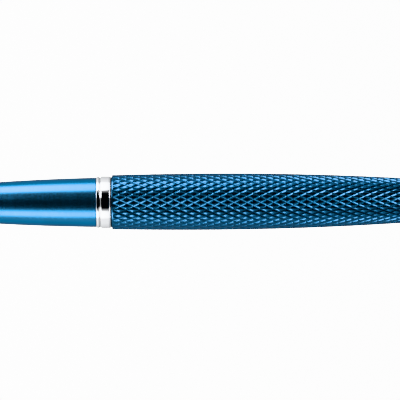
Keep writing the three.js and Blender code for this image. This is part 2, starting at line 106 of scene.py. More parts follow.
def softened(outline, size=0.07, steps=3):
    """The outline with each corner rounded, and held by a point just before and after it."""
    closed = outline[0][1] > 0
    last = len(outline) - 1
    points = []
    for i, here in enumerate(outline):
        corner = Vector(here)
        if not closed and i in (0, last):
            points.append(corner)
            continue
        back = Vector(outline[i - 1]) - corner
        on = Vector(outline[0 if i == last else i + 1]) - corner
        if math.pi - back.angle(on) < math.radians(12):
            points.append(corner)
            continue
        cut = min(size, 0.35 * back.length, 0.35 * on.length)
        start = corner + back.normalized() * cut
        end = corner + on.normalized() * cut
        points.append(start + back.normalized() * cut * 0.3)
        for step in range(steps + 1):
            u = step / steps
            points.append(start * (1 - u) ** 2 + corner * 2 * u * (1 - u) + end * u**2)
        points.append(end + on.normalized() * cut * 0.3)
    return [(p.x, max(p.y, 0)) for p in points]


def turned(name, outline, sides=SIDES, relief=None):
    """A piece turned on the X axis. relief(place, radius, turn) changes the radius."""
    closed = outline[0][1] > 0
    points, rings = [], []
    for place, radius in outline:
        if radius == 0:
            rings.append([len(points)])
            points.append((place, 0, 0))
            continue
        rings.append(list(range(len(points), len(points) + sides)))
        for k in range(sides):
            turn = 2 * math.pi * k / sides
            r = relief(place, radius, turn) if relief else radius
            points.append((place, r * math.cos(turn), r * math.sin(turn)))
    pairs = list(zip(rings, rings[1:]))
    if closed:
        pairs.append((rings[-1], rings[0]))
    faces = []
    for one, two in pairs:
        for k in range(sides):
            n = (k + 1) % sides
            if len(one) == 1:
                faces.append((one[0], two[n], two[k]))
            elif len(two) == 1:
                faces.append((one[k], one[n], two[0]))
            else:
                faces.append((one[k], one[n], two[n], two[k]))
    return mesh_from(name, points, faces)


def curve(start, stop, steps, radius_at):
    """Outline points along a formula."""
    places = [start + (stop - start) * i / steps for i in range(steps + 1)]
    return [(place, radius_at(place)) for place in places]


def thread(first, last, crest, depth, inside=False):
    """Relief for a right-handed thread of V grooves that fade out at both ends."""

    def relief(place, radius, turn):
        if not first <= place <= last or abs(radius - crest) > 0.02:
            return radius
        phase = (place / PITCH - turn / (2 * math.pi)) % 1
        groove = max(0.0, 1 - abs(phase - 0.5) / 0.36)
        fade = min(1, (place - first) / 0.6, (last - place) / 0.6)
        return radius + (depth if inside else -depth) * groove * fade

    return relief


def swept(name, path, radii, ring=12):
    """A closed wire along a path of points, with round ends."""
    points, rings = [], []
    count = len(path)
    for i, here in enumerate(path):
        ahead = Vector(path[min(i + 1, count - 1)]) - Vector(path[max(i - 1, 0)])
        tangent = ahead.normalized()
        side = tangent.cross(Vector((1, 0, 0))).normalized()
        up = side.cross(tangent).normalized()
        rings.append(range(len(points), len(points) + ring))
        for k in range(ring):
            turn = 2 * math.pi * k / ring
            offset = (side * math.cos(turn) + up * math.sin(turn)) * radii[i]
            points.append(tuple(Vector(here) + offset))
    faces = [
        (a[k], a[(k + 1) % ring], b[(k + 1) % ring], b[k])
        for a, b in zip(rings, rings[1:])
        for k in range(ring)
    ]
    faces.append(tuple(reversed(rings[0])))
    faces.append(tuple(rings[-1]))
    return mesh_from(name, points, faces)


# ---- materials ----------------------------------------------------------------------------


class Surface:
    """A material being built: a Principled shader and the nodes that vary it."""

    def __init__(self, name, colour, metallic, **sockets):
        self.material = bpy.data.materials.new(name)
        self.material.use_nodes = True
        self.tree = self.material.node_tree
        self.shader = self.tree.nodes["Principled BSDF"]
        self.shader.inputs["Base Color"].default_value = (*colour, 1)
        self.shader.inputs["Metallic"].default_value = metallic
        for socket, value in sockets.items():
            self.shader.inputs[socket.replace("_", " ")].default_value = value
        self.place = self.node("ShaderNodeTexCoord").outputs["Object"]
        self.height = None

    def node(self, kind, **settings):
        made = self.tree.nodes.new(kind)
        for key, value in settings.items():
            setattr(made, key, value)
        return made

    def join(self, output, target):
        self.tree.links.new(output, target)

    def noise(self, scale, detail=3.0, roughness=0.55):
        """Noise with features of the given sizes in millimetres along X, Y and Z."""
        mapping = self.node("ShaderNodeMapping")
        mapping.inputs["Scale"].default_value = [1 / (s * MM) for s in scale]
        self.join(self.place, mapping.inputs["Vector"])
        texture = self.node("ShaderNodeTexNoise")
        texture.inputs["Scale"].default_value = 1
        texture.inputs["Detail"].default_value = detail
        texture.inputs["Roughness"].default_value = roughness
        self.join(mapping.outputs["Vector"], texture.inputs["Vector"])
        return texture.outputs["Fac"]

    def ranged(self, value, low, high, start=0.3, stop=0.7):
        scaled = self.node("ShaderNodeMapRange")
        scaled.inputs["From Min"].default_value = start
        scaled.inputs["From Max"].default_value = stop
        scaled.inputs["To Min"].default_value = low
        scaled.inputs["To Max"].default_value = high
        self.join(value, scaled.inputs["Value"])
        return scaled.outputs["Result"]

    def vary(self, socket, value, low, high):
        self.join(self.ranged(value, low, high), self.shader.inputs[socket])

    def tint(self, value, one, two):
        """Base colour that drifts between two close shades."""
        mix = self.node("ShaderNodeMix", data_type="RGBA")
        mix.inputs["A"].default_value = (*one, 1)
        mix.inputs["B"].default_value = (*two, 1)
        self.join(self.ranged(value, 0, 1), mix.inputs["Factor"])
        self.join(mix.outputs["Result"], self.shader.inputs["Base Color"])

    def thin_coat(self, most, least):
        """A clear coat that shows where the surface faces the eye and fades towards its edges."""
        facing = self.node("ShaderNodeLayerWeight").outputs["Facing"]
        self.join(self.ranged(facing, most, least, 0.28, 0.45), self.shader.inputs["Coat Weight"])

    def bump(self, value, depth, strength=1.0):
        """Bump of a depth in millimetres, on top of any bump already there."""
        bump = self.node("ShaderNodeBump")
        bump.inputs["Strength"].default_value = strength
        bump.inputs["Distance"].default_value = depth * MM
        self.join(value, bump.inputs["Height"])
        if self.height:
            self.join(self.height, bump.inputs["Normal"])
        self.height = bump.outputs["Normal"]
        self.join(self.height, self.shader.inputs["Normal"])


def satin_blue():
    """Blue anodised metal, finely turned, so that its brushing runs round the pen."""
    s = Surface("satin_blue", (0.001, 0.155, 0.345), 1, Coat_Roughness=0.3)
    s.shader.inputs["Specular Tint"].default_value = (0.75, 0.72, 0.7, 1)
    s.thin_coat(0.8, 0.02)
    brushing = s.noise((0.16, 9, 9), detail=5, roughness=0.65)
    drift = s.noise((4, 3, 3), detail=2)
    s.vary("Roughness", brushing, 0.19, 0.26)
    s.tint(drift, (0.0008, 0.15, 0.325), (0.0012, 0.167, 0.365))
    s.bump(brushing, 0.0012, 0.6)
    return s.material


def cut_blue():
    """Bright blue anodised metal over cut facets."""
    s = Surface("cut_blue", (0.0008, 0.072, 0.175), 1, Coat_Roughness=0.15)
    s.shader.inputs["Specular Tint"].default_value = (0.8, 0.8, 0.8, 1)
    s.thin_coat(0.7, 0.1)
    fine = s.noise((0.12, 0.12, 0.12), detail=3)
    drift = s.noise((5, 4, 4), detail=2)
    s.vary("Roughness", fine, 0.18, 0.25)
    s.tint(drift, (0.0006, 0.073, 0.163), (0.0010, 0.083, 0.187))
    s.bump(fine, 0.0008, 0.4)
    return s.material


def chrome():
    s = Surface("chrome", (0.86, 0.87, 0.89), 1)
    polish = s.noise((0.15, 4, 4), detail=3)
    haze = s.noise((2.5, 2.5, 2.5), detail=2)
    s.vary("Roughness", haze, 0.035, 0.075)
    s.bump(polish, 0.0003, 0.4)
    return s.material


def turned_metal(name, dark, light, roughness):
    """Bare metal with lathe marks."""
    s = Surface(name, light, 1)
    marks = s.noise((0.07, 6, 6), detail=4)
    stain = s.noise((1.6, 1.2, 1.2), detail=3)
    s.vary("Roughness", marks, roughness - 0.07, roughness + 0.09)
    s.tint(stain, dark, light)
    s.bump(marks, 0.0015, 0.6)
    return s.material


def plastic(name, dark, light, roughness, grain):
    s = Surface(name, light, 0, IOR=1.49)
    fine = s.noise((grain, grain, grain), detail=3)
    flow = s.noise((3, 1, 1), detail=2)
    s.vary("Roughness", fine, roughness - 0.06, roughness + 0.08)
    s.tint(flow, dark, light)
    s.bump(fine, 0.002, 0.5)
    return s.material


def rubber():
    s = Surface("black_rubber", (0.012, 0.012, 0.013), 0, IOR=1.5)
    grain = s.noise((0.05, 0.05, 0.05), detail=4)
    s.vary("Roughness", grain, 0.6, 0.85)
    s.tint(grain, (0.008, 0.008, 0.009), (0.018, 0.018, 0.02))
    s.bump(grain, 0.004, 0.7)
    return s.material


def ink_fibre():
    """Fibre bundle soaked with dark blue ink: threads that run along the refill."""
    s = Surface("ink_fibre", (0.01, 0.02, 0.1), 0, Sheen_Weight=0.2)
    threads = s.noise((2.5, 0.05, 0.05), detail=4)
    s.vary("Roughness", threads, 0.5, 0.9)
    s.tint(threads, (0.004, 0.009, 0.05), (0.02, 0.05, 0.2))
    s.bump(threads, 0.02, 0.8)
    return s.material


SATIN_BLUE = satin_blue()
CUT_BLUE = cut_blue()
CHROME = chrome()
BRASS = turned_metal("brass", (0.62, 0.42, 0.15), (0.78, 0.58, 0.27), 0.26)
SPRING_STEEL = turned_metal("spring_steel", (0.5, 0.5, 0.51), (0.68, 0.69, 0.71), 0.28)
TIP_METAL = turned_metal("tip_metal", (0.6, 0.57, 0.5), (0.75, 0.72, 0.65), 0.2)
CARBIDE = turned_metal("carbide", (0.24, 0.25, 0.27), (0.36, 0.37, 0.4), 0.14)
RUBBER = rubber()
BLACK_PLASTIC = plastic("black_plastic", (0.016, 0.016, 0.018), (0.03, 0.03, 0.033), 0.42, 0.06)
GREY_PLASTIC = plastic("grey_plastic", (0.51, 0.52, 0.54), (0.55, 0.56, 0.58), 0.3, 0.2)
WHITE_PLASTIC = plastic("white_plastic", (0.74, 0.74, 0.7), (0.84, 0.84, 0.81), 0.32, 0.2)
INK_FIBRE = ink_fibre()


# ---- the section --------------------------------------------------------------------------

SECTION_REAR = span("grip_section")[1]
COUPLING_SEAT = 4.6


def section_radius(place):
    """Radius of the grip: nearly straight at its rear edge, ever steeper to the nose."""
    ahead = SECTION_REAR - place
    return 5.485 - 0.02 * ahead - 0.00065 * ahead**2 - 0.000011 * ahead**3


def make_grip():
    front, rear, radius = span("grip_section")
    outline = [
        (front, 2.6),
        *curve(front, rear, 64, section_radius),
        (rear, COUPLING_SEAT),
        (rear - 10.5, COUPLING_SEAT),
        (rear - 10.5, 3.5),
        (rear - 26, 3.5),
        (rear - 33, 2.6),
    ]
    mesh = turned("grip_section", softened(outline, 0.08))
    add_piece("grip_section_shell", mesh, PEN, "section", ["grip_section"], SATIN_BLUE)


def make_nose_collar():
    front, rear, radius = span("nose_collar")
    visible_rear = span("grip_section")[0] - 0.03
    outline = [
        (front, 1.35),
        (front, 1.9),
        (front + 0.18, 2.28),
        (front + 0.55, 2.5),
        *curve(front + 1, front + 2.7, 6, lambda x: section_radius(x) - 0.01),
        (front + 2.8, section_radius(front + 2.8) - 0.16),
        (front + 3.1, section_radius(front + 3.1) - 0.16),
        (front + 3.2, section_radius(front + 3.2) - 0.01),
        (visible_rear, section_radius(visible_rear) - 0.01),
        (visible_rear, 2.55),
        (rear, 2.55),
        (rear, 1.9),
        (front + 1.5, 1.9),
        (front + 1.5, 1.35),
    ]
    mesh = turned("nose_collar", softened(outline, 0.06))
    add_piece("nose_collar_ring", mesh, PEN, "section", ["nose_collar"], CHROME)


def make_coupling():
    front, rear, radius = span("threaded_coupling")
    crest = 4.4
    thread_start, thread_end = 2.2, rear - 0.3
    outline = [
        (front, 3.4),
        (front, radius),
        (-0.25, radius),
        (0.35, crest),
        *curve(1.4, rear - 0.45, 90, lambda x: crest),
        (rear, crest - 0.45),
        (rear, 3.4),
    ]
    relief = thread(thread_start, thread_end, crest, 0.34)
    mesh = turned("threaded_coupling", softened(outline, 0.06), SIDES, relief)
    add_piece("coupling_tube", mesh, PEN, "section", ["threaded_coupling"], BRASS, 50)


def make_bead_ring():
    front, rear, radius = span("bead_ring")
    outline = [
        (front, COUPLING_SEAT),
        (front, 5.5),
        (front + 0.12, radius - 0.02),
        (front + 0.16, radius),
        (front + 0.56, radius),
        (front + 0.6, radius - 0.02),
        (rear - 0.02, 5.47),
        (rear, COUPLING_SEAT),
    ]
    mesh = turned("bead_ring", softened(outline, 0.03), 192)
    add_piece("bead_ring_trim", mesh, PEN, "section", ["bead_ring"], CHROME)


def make_centre_band():
    front, rear, radius = span("centre_band")

    def crowned(place):
        middle = (front + rear) / 2
        return radius - 0.012 * ((place - middle) / (rear - front) * 2) ** 2

    outline = [
        (front, COUPLING_SEAT),
        (front, 5.55),
        (front + 0.1, 5.7),
        *curve(front + 0.2, rear - 0.3, 12, crowned),
        (rear - 0.22, radius - 0.09),
        (rear - 0.1, radius),
        (rear - 0.02, radius - 0.04),
        (rear, COUPLING_SEAT),
    ]
    mesh = turned("centre_band", softened(outline, 0.05), 192)
    add_piece("centre_band_ring", mesh, PEN, "section", ["centre_band"], CHROME)


def make_washer():
    front, rear, radius = span("seal_washer")
    outline = [(front, 4.66), (front, radius), (rear, radius), (rear, 4.66)]
    mesh = turned("seal_washer", softened(outline, 0.05))
    add_piece("seal_washer_ring", mesh, PEN, "washer", ["seal_washer"], RUBBER)


# ---- the barrel ---------------------------------------------------------------------------

DIAMONDS_ROUND = 26
FIRST_PERIOD = 2.976         # length of a diamond at the front edge
PERIOD_LOSS = 0.0025         # by which it shortens per millimetre
PHASE = 0.547                # place of the first crossing, in periods
ROW_TURN = math.radians(4.5) # a row of crossings, turned from straight up towards +Y
GROOVE_SHARE = 0.3           # half width of a groove, as a share of a diamond's side
GROOVE_DEPTH = 0.14
GROOVE_CURVE = 1.5           # above 1, a groove's sides steepen towards its bottom
PILLOW = 0.012               # how far a diamond's edge lies below its middle


def barrel_radius(place):
    """Radius of the barrel, thickest at its belly."""
    behind = place - 21.4
    return 6.25 - (0.0007045 if behind > 0 else 0.0005) * behind**2


def place_of_period(periods):
    """Distance along the barrel after a number of diamond lengths."""
    return FIRST_PERIOD / PERIOD_LOSS * (1 - math.exp(-PERIOD_LOSS * periods))


def cut_radius(place, u, v):
    """Radius of the cut surface, u and v being the place within one diamond, from 0 to 1."""
    to_u = min(u, 1 - u) / GROOVE_SHARE
    to_v = min(v, 1 - v) / GROOVE_SHARE
    groove = max(0.0, 1 - to_u, 1 - to_v) ** GROOVE_CURVE
    sink = PILLOW * ((2 * u - 1) ** 2 + (2 * v - 1) ** 2) / 2
    return barrel_radius(place) - GROOVE_DEPTH * groove - sink


def diamond_lattice(front, rear):
    """The cut surface of the barrel: two crossing sets of helical grooves."""
    half = [GROOVE_SHARE * share for share in (0, 0.33, 0.66, 1)]
    steps = [*half, 0.5, *(1 - s for s in reversed(half))]
    fine = len(steps) - 1
    around = 2 * DIAMONDS_ROUND
    last_row = 0
    while place_of_period(last_row / 2 + PHASE) < rear:
        last_row += 1
    points, faces, index = [], [], {}

    def corner(i, j, p, q):
        key = ((i * fine + p - j * fine - q) % (around * fine), i * fine + p + j * fine + q)
        if key not in index:
            a, b = i + steps[p], j + steps[q]
            place = place_of_period((a + b) / 2 + PHASE)
            turn = math.pi * (a - b) / DIAMONDS_ROUND + ROW_TURN
            r = cut_radius(place, steps[p], steps[q])
            index[key] = len(points)
            points.append((place, r * math.sin(turn), r * math.cos(turn)))
        return index[key]

    for across in range(around):
        for row in range(-4, last_row + 2):
            if (across + row) % 2:
                continue
            i, j = (row + across) // 2, (row - across) // 2
            for p in range(fine):
                for q in range(fine):
                    quad = [
                        corner(i, j, p, q),
                        corner(i, j, p + 1, q),
                        corner(i, j, p + 1, q + 1),
                        corner(i, j, p, q + 1),
                    ]
                    at_end = (p < 3 or p > fine - 4) and (q < 3 or q > fine - 4)
                    if at_end and ((p < 3) == (q < 3)):
                        faces += [(quad[0], quad[1], quad[2]), (quad[0], quad[2], quad[3])]
                    elif at_end:
                        faces += [(quad[0], quad[1], quad[3]), (quad[1], quad[2], quad[3])]
                    else:
                        faces.append(tuple(quad))
    return points, faces


def carry(bm, edges, place, radius):
    """Extends an open end of the barrel's surface to a circle, keeping each point's angle."""
    made = bmesh.ops.extrude_edge_only(bm, edges=edges)["geom"]
    for v in (g for g in made if isinstance(g, bmesh.types.BMVert)):
        scale = radius * MM / math.hypot(v.co.y, v.co.z)
        v.co = (place * MM, v.co.y * scale, v.co.z * scale)
    return [g for g in made if isinstance(g, bmesh.types.BMEdge)]


def make_barrel_sleeve():
    front, rear, radius = span("barrel_sleeve")
    rim_front, rim_rear = front + 0.28, rear - 0.3
    points, faces = diamond_lattice(front, rear)
    mesh = mesh_from("barrel_sleeve", points, faces)
    bm = bmesh.new()
    bm.from_mesh(mesh)
    loops = []
    for place, outwards in ((rim_front, -1), (rim_rear, 1)):
        bmesh.ops.bisect_plane(
            bm,
            geom=[*bm.verts, *bm.edges, *bm.faces],
            dist=1e-7,
            plane_co=(place * MM, 0, 0),
            plane_no=(outwards, 0, 0),
            clear_outer=True,
        )
        edge = [e for e in bm.edges if e.is_boundary]
        loops.append([e for e in edge if all(abs(v.co.x / MM - place) < 0.002 for v in e.verts)])
    front_rim = [
        (rim_front, barrel_radius(rim_front)),
        (rim_front - 0.05, barrel_radius(rim_front)),
        (front + 0.06, barrel_radius(front + 0.1)),
        (front + 0.02, barrel_radius(front) - 0.01),
        (front, barrel_radius(front) - 0.05),
        (front, 5.36),
        (front + 0.06, 5.3),
        (11.5, 5.3),
        (11.5, 4.7),
        (34, 4.7),
    ]
    rear_rim = [
        (rim_rear, barrel_radius(rim_rear)),
        (rim_rear + 0.05, barrel_radius(rim_rear)),
        (rear - 0.1, barrel_radius(rear - 0.1)),
        (rear, barrel_radius(rear) - 0.12),
        (rear, 3.3),
        (74, 3.3),
        (58, 4.7),
        (36, 4.7),
    ]
    ends = []
    for loop, rim in zip(loops, (front_rim, rear_rim)):
        for place, r in rim:
            loop = carry(bm, loop, place, r)
        ends += loop
    bmesh.ops.bridge_loops(bm, edges=ends)
    bmesh.ops.recalc_face_normals(bm, faces=bm.faces)
    bm.to_mesh(mesh)
    bm.free()
    nodes = ["barrel_sleeve"]
    add_piece("barrel_sleeve_cut", mesh, PEN, "barrel", nodes, CUT_BLUE, 20)


def make_bush():
    front, rear, radius = span("thread_bush")
    bore = 4.5
    outline = [
        (front, 4.65),
        (front, radius),
        (rear, radius),
        (rear, bore),
        *curve(rear - 0.3, front + 1.1, 100, lambda x: bore),
    ]
    relief = thread(front + 1.2, rear - 0.4, bore, 0.3, inside=True)
    mesh = turned("thread_bush", softened(outline, 0.06), SIDES, relief)
    add_piece("thread_bush_insert", mesh, PEN, "barrel", ["thread_bush"], BRASS, 50)


def make_liner():
    front, rear, radius = span("barrel_liner")
    outline = [(front, 3.9), (front, radius), (rear, radius), (rear, 3.9)]
    mesh = turned("barrel_liner", softened(outline, 0.15), INNER_SIDES)
    add_piece("barrel_liner_tube", mesh, PEN, "barrel", ["barrel_liner"], BRASS)


def make_end_plug():
    front, rear, radius = span("end_plug")
    shoulder = span("barrel_sleeve")[1] + 0.03

    def dome(place):
        share = (place - shoulder - 1.6) / (rear - shoulder - 1.6)
        return 2.1 + (radius - 0.12 - 2.1) * math.sqrt(max(0, 1 - share**2))

    outline = [
        (front, 0),
        (front, 3.25),
        (shoulder, 3.25),
        (shoulder, radius - 0.15),
        (shoulder + 0.15, radius),
        (shoulder + 0.7, radius),
        (shoulder + 0.8, radius - 0.18),
        (shoulder + 1.1, radius - 0.18),
        (shoulder + 1.2, radius - 0.03),
        *curve(shoulder + 1.6, rear, 14, dome),
        (rear, 0),
    ]
    mesh = turned("end_plug", softened(outline, 0.05))
    add_piece("end_plug_dome", mesh, PEN, "barrel", ["end_plug"], CHROME)


# ---- the spring and its seat --------------------------------------------------------------


def make_spring_cup():
    front, rear, radius = span("spring_cup")
    outline = [
        (rear - 1.2, 0),
        (rear - 1.2, 2.6),
        (front, 2.6),
        (front, radius),
        (rear, radius),
        (rear, 0),
    ]
    mesh = turned("spring_cup", softened(outline, 0.12), INNER_SIDES)
    nodes = ["spring_cup"]
    add_piece("spring_cup_seat", mesh, PEN, "spring_seat", nodes, BLACK_PLASTIC)


def make_spring():
    front, rear, radius = span("refill_spring")
    wire = 0.24
    coil = radius - wire
    dead_turns, live_turns, per_turn = 1.25, 6, 32
    live_pitch = (rear - front - 2 * wire - 2 * dead_turns * 2 * wire) / live_turns
    total = int((2 * dead_turns + live_turns) * per_turn)
    path, place = [], front + wire
    for step in range(total + 1):
        turns = step / per_turn
        path.append((place, coil * math.cos(2 * math.pi * turns), coil * math.sin(2 * math.pi * turns)))
        dead = turns < dead_turns or turns >= dead_turns + live_turns
        place += (2 * wire if dead else live_pitch) / per_turn
    taper = [min(1, 0.4 + min(i, total - i) / 2) for i in range(total + 1)]
    mesh = swept("refill_spring", path, [wire * t for t in taper])
    spring = add_piece("refill_spring_coil", mesh, PEN, "spring_seat", ["refill_spring"], SPRING_STEEL)
    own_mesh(spring)


# ---- the refill ---------------------------------------------------------------------------

TUBE_BORE = 2.65


def make_refill_tube():
    front, rear, radius = span("refill_tube")
    crimp = 0.1
    outline = [
        (front, TUBE_BORE),
        (front, radius),
        (front + 1.2, radius),
        (front + 1.4, radius - crimp),
        (front + 1.9, radius - crimp),
        (front + 2.1, radius),
        (rear - 2.1, radius),
        (rear - 1.9, radius - crimp),
        (rear - 1.4, radius - crimp),
        (rear - 1.2, radius),
        (rear, radius),
        (rear, TUBE_BORE),
    ]
    mesh = turned("refill_tube", softened(outline, 0.12), INNER_SIDES)
    add_piece("refill_tube_body", mesh, PEN, "refill", ["refill_tube"], GREY_PLASTIC)


def make_refill_nose():
    front, rear, radius = span("refill_nose")
    shoulder = span("refill_tube")[0] - 0.03
    outline = [
        (front, 1.2),
        (front, 1.55),
        (front + 0.2, 1.75),
        (-37.2, 1.75),
        (-37.2, 2.3),
        (-32.2, 3),
        (-31.8, radius),
        (-27, radius),
        (-26.7, radius - 0.2),
        (-25.8, radius - 0.2),
        (-25.5, radius),
        (shoulder, radius),
        (shoulder, 2.6),
        (rear, 2.6),
        (rear, 1.2),
    ]
    mesh = turned("refill_nose", softened(outline, 0.1), INNER_SIDES)
    nodes = ["refill_nose"]
    add_piece("refill_nose_holder", mesh, PEN, "refill", nodes, BLACK_PLASTIC)


def make_refill_tip():
    front, rear, radius = span("refill_tip")
    ball_front = span("writing_ball")[0]
    outline = [
        (front, 0.37),
        (front, 0.44),
        (front + 0.25, 0.56),
        (ball_front + 2.1, 0.86),
        (ball_front + 2.3, 1.0),
        (ball_front + 2.5, radius),
        (rear, radius),
        (rear, 0.55),
        (ball_front + 2.6, 0.55),
        (ball_front + 2.1, 0.2),
        (ball_front + 0.75, 0.2),
        (ball_front + 0.75, 0.37),
    ]
    mesh = turned("refill_tip", softened(outline, 0.05), INNER_SIDES)
    add_piece("refill_tip_cone", mesh, PEN, "refill", ["refill_tip"], TIP_METAL)


def make_writing_ball():
    front, rear, radius = span("writing_ball")
    middle = (front + rear) / 2
    half_turn = [math.pi * i / 24 for i in range(25)]
    outline = [(middle - radius * math.cos(t), radius * math.sin(t)) for t in half_turn]
    outline[0] = (front, 0)
    outline[-1] = (rear, 0)
    mesh = turned("writing_ball", outline, 48)
    add_piece("writing_ball_carbide", mesh, PEN, "ball", ["writing_ball"], CARBIDE)


def make_refill_plug():
    front, rear, radius = span("refill_plug")
    seat = span("refill_tube")[1]
    outline = [
        (front, 0),
        (front, 2.6),
        (seat + 0.03, 2.6),
        (seat + 0.03, radius),
        (rear - 1.8 - 1, radius),
        (rear - 1.8 - 0.8, radius - 0.15),
        (rear - 1.8 - 0.6, radius - 0.15),
        (rear - 1.8 - 0.4, radius - 0.02),
        (rear - 1.8, radius - 0.25),
        (rear - 1.8, 1.6),
        (rear - 0.3, 1.6),
        (rear, 1.3),
        (rear, 0),
    ]
    mesh = turned("refill_plug", softened(outline, 0.1), INNER_SIDES)
    nodes = ["refill_plug"]
    add_piece("refill_plug_stopper", mesh, PEN, "refill", nodes, BLACK_PLASTIC)


def fluted(depth, flutes):
    """Relief of shallow flutes that run along a fibre rod."""
    return lambda place, radius, turn: radius - depth * (0.5 - 0.5 * math.cos(flutes * turn))


def make_ink_rods():
    for node, edge, flutes in (("ink_feed", 0.12, 12), ("ink_reservoir", 0.3, 18)):
        front, rear, radius = span(node)
        outline = softened([(front, 0), (front, radius), (rear, radius), (rear, 0)], edge)
        mesh = turned(node, outline, INNER_SIDES, fluted(0.06, flutes))
        add_piece(node + "_rod", mesh, PEN, "refill", [node], INK_FIBRE)


# ---- the cap ------------------------------------------------------------------------------

LIP_FRONT = span("cap_lip_ring", CAP)[0]


def cap_radius(place):
    share = max((LIP_FRONT - 0.1 - place) / 52.8, 0)
    return 6.1 - 1.4 * share**1.6


def cap_bore(place):
    return 4.1 + (place - 6.6) * 0.034


def add_cap_piece(name, node, outline, edge, material, sides=SIDES):
    mesh = turned(node, softened(outline, edge), sides)
    add_piece(name, mesh, CAP, "cap", [node], material)


def make_cap_shell():
    top, mouth, radius = span("cap_shell", CAP)
    floor = top + 1.2
    outline = [
        (top, 1.5),
        (top, cap_radius(top) - 0.15),
        *curve(top + 0.15, LIP_FRONT - 0.03, 48, cap_radius),
        (LIP_FRONT - 0.03, 5.95),
        (mouth, 5.95),
        (mouth, 5.6),
        (56.6, 5.6),
        (56.6, 5.62),
        (50.4, 5.62),
        (50.4, 5.45),
        (43, 5.45),
        (41, cap_bore(41)),
        (floor, cap_bore(floor)),
        (floor, 1.5),
    ]
    add_cap_piece("cap_shell_body", "cap_shell", outline, 0.06, SATIN_BLUE)


def make_lip_ring():
    front, rear, radius = span("cap_lip_ring", CAP)
    seat = span("cap_shell", CAP)[1] + 0.03
    outline = [
        (front, 6),
        (front, radius - 0.14),
        (front + 0.16, radius - 0.01),
        (front + 0.7, radius - 0.01),
        (front + 0.85, radius - 0.14),
        (front + 1.05, radius - 0.14),
        (front + 1.2, radius),
        (rear - 0.5, radius),
        (rear - 0.2, radius - 0.08),
        (rear - 0.03, radius - 0.25),
        (rear, radius - 0.4),
        (rear, 5.6),
        (seat, 5.6),
        (seat, 6),
    ]
    add_cap_piece("cap_lip_ring_trim", "cap_lip_ring", outline, 0.06, CHROME, 192)


def make_clutch_ring():
    front, rear, radius = span("clutch_ring", CAP)
    bore = 5.4
    outline = [
        (front, bore + 0.08),
        (front, radius),
        (rear, radius),
        (rear, bore + 0.08),
        (rear - 1, bore),
        (front + 3.3, bore),
        (front + 3.2, bore + 0.05),
        (front + 2.8, bore + 0.05),
        (front + 2.7, bore),
        (front + 1, bore),
    ]
    add_cap_piece("clutch_ring_insert", "clutch_ring", outline, 0.04, BLACK_PLASTIC)


def make_inner_cap():
    top, mouth, radius = span("inner_cap", CAP)
    outline = [
        (top, 0),
        (top, 3.2),
        (19, 3.2),
        (24.5, 4.2),
        (32, 4.8),
        (39, cap_bore(39) - 0.08),
        (mouth, cap_bore(mouth) - 0.08),
        (mouth, 4.78),
        (32, 4.2),
        (24.5, 3.6),
        (19.5, 3.05),
        (19, 2.5),
        (top + 1, 2.5),
        (top + 1, 0),
    ]
    add_cap_piece("inner_cap_cup", "inner_cap", outline, 0.12, WHITE_PLASTIC, 96)


def make_clip_ring():
    front, rear, radius = span("clip_ring", CAP)
    outline = [(front, 1.5), (front, radius), (rear, radius), (rear, 1.5)]
    add_cap_piece("clip_ring_plate", "clip_ring", outline, 0.1, CHROME)


def make_finial():
    front, rear, radius = span("cap_finial", CAP)
    outline = [
        (front, 0),
        (front, 3.05),
        (front + 0.12, 3.35),
        (front + 0.4, 3.72),
        (front + 1.1, 4.22),
        (front + 2.0, 4.5),
        (front + 2.6, 4.6),
        (front + 2.7, 4.42),
        (front + 3.0, 4.42),
        (front + 3.1, 4.66),
        (front + 3.4, radius),
        (rear, radius),
        (rear, 1.5),
        (front + 2.1, 1.5),
        (front + 2.1, 0),
    ]
    add_cap_piece("cap_finial_dome", "cap_finial", outline, 0.07, CHROME)


def make_finial_screw():
    front, rear, radius = span("finial_screw", CAP)
    head = rear - 1.2
    outline = [
        (front, 0),
        (front, 1.2),
        (front + 0.25, 1.45),
        *curve(front + 0.4, head - 0.5, 30, lambda x: 1.45),
        (head, 1.45),
        (head, radius),
        (rear, radius),
        (rear, 1.1),
        (rear - 0.6, 1.1),
        (rear - 0.6, 0),
    ]
    relief = thread(front + 0.3, head - 0.4, 1.45, 0.22)
    mesh = turned("finial_screw", softened(outline, 0.06), INNER_SIDES, relief)
    add_piece("finial_screw_stud", mesh, CAP, "cap", ["finial_screw"], BRASS, 50)


# ---- the clip -----------------------------------------------------------------------------


def clip_stations():
    """Places along the clip, in its side view: along, away from the cap, width, thickness,
    and how square the section is."""
    root_along = span("clip_ring", CAP)[0] + 0.5
    ball = 1.0
    end = 42.0
    ball_away = cap_radius(end) + 0.3 + ball
    arm_away, neck = 6.1, end - 1.6
    stations = [(root_along, 4.5, 2.7, 0.7, 0.5)]
    bend = 1.6
    for i in range(9):
        turn = math.pi / 2 * i / 8
        along = root_along + bend * (1 - math.cos(turn))
        away = arm_away - bend * (1 - math.sin(turn))
        stations.append((along, away, 2.8, 0.74, 0.5))
    reach = neck - stations[-1][0]
    for i in range(1, 25):
        share = i / 24
        rise = (ball_away - 0.15 - arm_away) * share
        bow = 0.25 * math.sin(math.pi * share)
        stations.append((
            stations[9][0] + reach * share,
            arm_away + rise + bow,
            2.8 - 1.1 * share**1.4,
            0.74 - 0.08 * share,
            0.5,
        ))
    for i in range(11):
        turn = math.pi * (0.24 + 0.76 * i / 10)
        size = 2 * ball * math.sin(turn)
        blend = min(1, i / 3)
        stations.append((
            end - ball * math.cos(turn),
            ball_away - 0.15 * (1 - blend),
            max(size, 0.02),
            max(size * (0.55 + 0.45 * blend), 0.02),
            0.5 + 0.5 * blend,
        ))
    return stations


